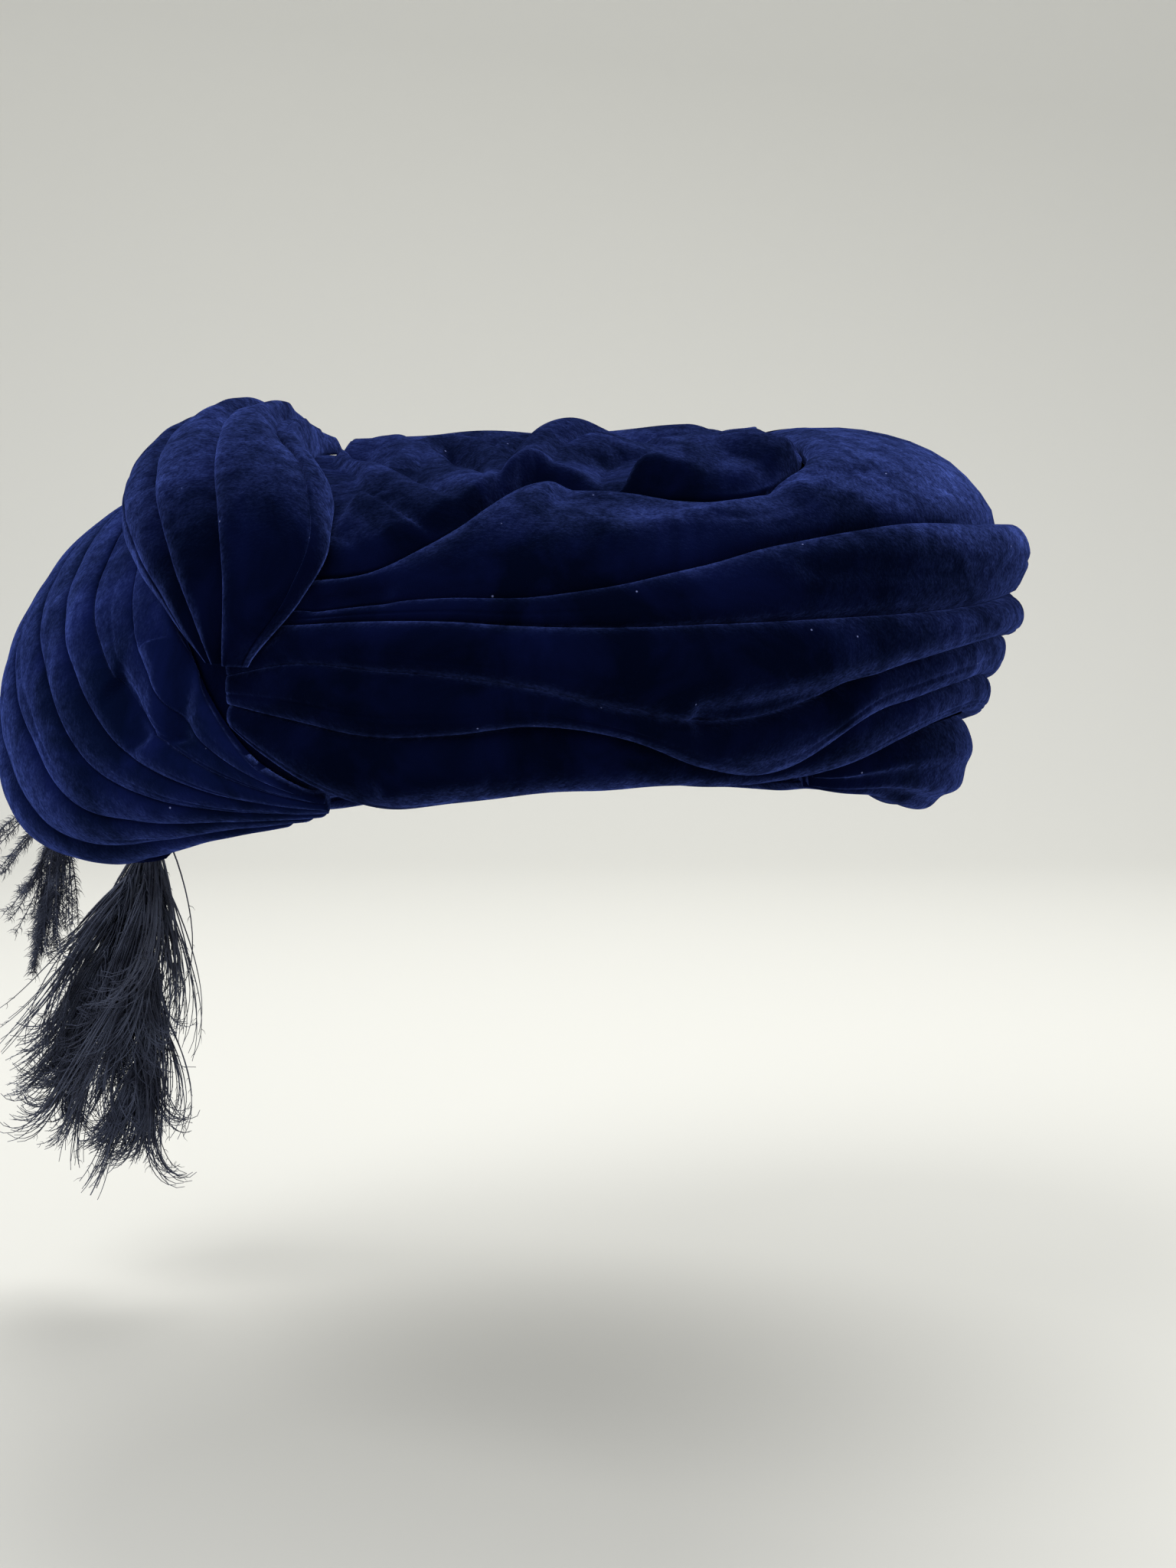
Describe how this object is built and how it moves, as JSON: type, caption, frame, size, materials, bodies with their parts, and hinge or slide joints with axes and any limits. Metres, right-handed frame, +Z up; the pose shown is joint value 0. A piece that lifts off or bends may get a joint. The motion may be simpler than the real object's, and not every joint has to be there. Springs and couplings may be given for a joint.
{
  "type": "cocktail hat",
  "caption": "Draped velvet turban-style hat with a pleated swag, an upright knot at the front left and ostrich plumes hanging behind the left side.",
  "frame": {"origin": "centre of the head opening, level with its front edge, as the hat is worn", "axes": "+Z up, -Y towards the front, +X to the right as seen from the front"},
  "size_m": [0.255, 0.2399, 0.1939],
  "materials": {
    "velvet": "matte velvet",
    "feather": "matte feather"
  },
  "bodies": {
    "root": {"crown": "velvet", "crown_drape": "velvet", "front_drape": "velvet", "side_drape": "velvet", "back_drape": "velvet", "knot": "velvet", "right_tuck": "velvet", "plume_hanging": "feather", "plume_side": "feather"}
  },
  "joints": []
}
